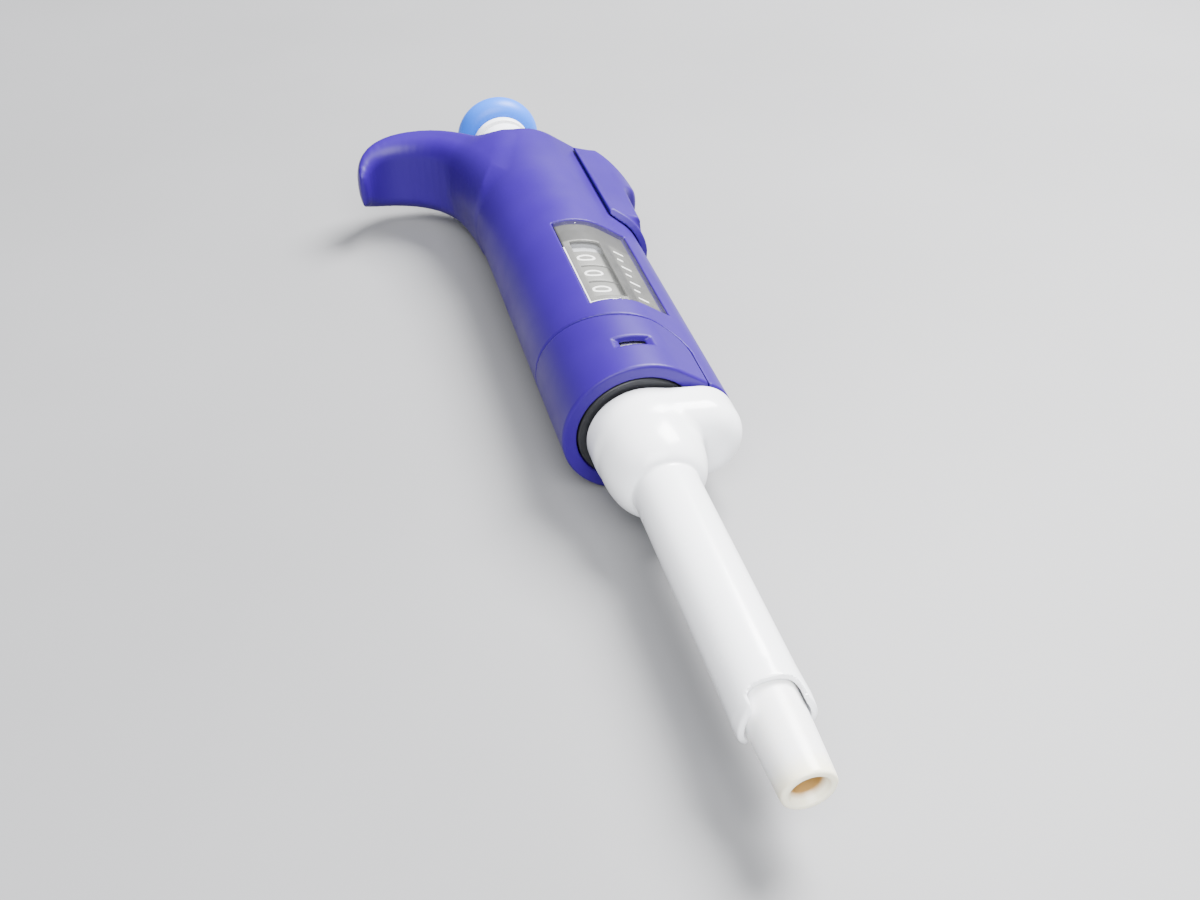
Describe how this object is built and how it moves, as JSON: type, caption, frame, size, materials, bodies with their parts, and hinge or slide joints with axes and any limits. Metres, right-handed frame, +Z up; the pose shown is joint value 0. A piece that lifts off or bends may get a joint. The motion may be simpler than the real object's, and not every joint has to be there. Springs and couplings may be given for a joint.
{
  "type": "adjustable micropipette",
  "caption": "Adjustable air-displacement micropipette with push button, number-wheel display, finger hook and tip ejector.",
  "frame": {"origin": "under the middle of the bounding box, on the surface that the flat of the back rests on", "axes": "+Y along the pipette from nozzle to push button, +X to the ejector side, +Z up through the display"},
  "size_m": [0.0712, 0.238, 0.0309],
  "materials": {
    "grip_plastic": "satin moulded plastic with a faint grain",
    "window_clear": "clear polished acrylic",
    "mask_plastic": "dark printed plate",
    "wheel_plastic": "light grey moulded number wheels",
    "cap_plastic": "light blue moulded plastic",
    "white_plastic": "white moulded plastic",
    "sleeve_plastic": "glossy white moulded plastic",
    "ivory_plastic": "ivory chemical-resistant plastic",
    "black_plastic": "black moulded plastic",
    "inner_plastic": "grey engineering plastic",
    "seal_rubber": "black elastomer",
    "filter": "amber porous plug",
    "steel": "stainless steel",
    "brass": "turned brass"
  },
  "bodies": {
    "handle": {"handle_shell": "grip_plastic", "lower_cover": "grip_plastic", "display_window": "window_clear", "display_mask": "mask_plastic", "top_bush": "white_plastic", "counter_axle": "inner_plastic", "chassis_tube": "inner_plastic", "blowout_spring": "steel", "blowout_washer": "steel", "primary_spring": "steel", "tip_cone": "ivory_plastic", "tip_filter": "filter", "retaining_ring": "black_plastic", "ejector_spring": "steel"},
    "adjuster": {"drive_sleeve": "inner_plastic", "counter_wheel_fine": "wheel_plastic"},
    "plunger": {"button_cap": "cap_plastic", "button_ring": "white_plastic", "button_stem": "white_plastic", "plunger_rod": "steel", "spring_collar": "brass", "piston": "inner_plastic", "piston_seal": "seal_rubber"},
    "middle_wheel": {"counter_wheel_middle": "wheel_plastic"},
    "coarse_wheel": {"counter_wheel_coarse": "wheel_plastic"},
    "stop": {"stop_nut": "brass"},
    "calibrator": {"calibration_nut": "inner_plastic"},
    "ejector": {"ejector_button": "grip_plastic", "ejector_rod": "steel", "ejector_clip": "steel", "ejector_sleeve": "sleeve_plastic"}
  },
  "joints": [
    {"name": "volume_turn", "type": "hinge", "parent": "handle", "child": "adjuster", "pos_m": [0.00785, 0.0426, 0.015], "axis": [0, 1, 0], "range_deg": [0, 18000]},
    {"name": "plunger_press", "type": "slide", "parent": "adjuster", "child": "plunger", "axis": [0, -1, 0], "range_m": [0, 0.019], "stiffness_N_per_m": 500, "springref_m": -0.008, "deforming": ["primary_spring"]},
    {"name": "middle_wheel_turn", "type": "hinge", "parent": "handle", "child": "middle_wheel", "pos_m": [0.00785, 0.0118, 0.015], "axis": [0, 1, 0], "range_deg": [0, 1800]},
    {"name": "coarse_wheel_turn", "type": "hinge", "parent": "handle", "child": "coarse_wheel", "pos_m": [0.00785, 0.005, 0.015], "axis": [0, 1, 0], "range_deg": [0, 180]},
    {"name": "stop_travel", "type": "slide", "parent": "handle", "child": "stop", "axis": [0, -1, 0], "range_m": [0, 0.016]},
    {"name": "calibration_turn", "type": "hinge", "parent": "handle", "child": "calibrator", "pos_m": [0.00785, -0.0164, 0.015], "axis": [0, 1, 0], "range_deg": [-90, 90]},
    {"name": "tip_eject", "type": "slide", "parent": "handle", "child": "ejector", "axis": [0, -1, 0], "range_m": [0, 0.009], "stiffness_N_per_m": 600, "springref_m": -0.006, "deforming": ["ejector_spring"]}
  ],
  "couplings": [
    {"joint": "middle_wheel_turn", "follows": "volume_turn", "ratio": 0.1},
    {"joint": "coarse_wheel_turn", "follows": "volume_turn", "ratio": 0.01},
    {"joint": "stop_travel", "follows": "volume_turn", "m_per_rad": 0.000050929}
  ]
}
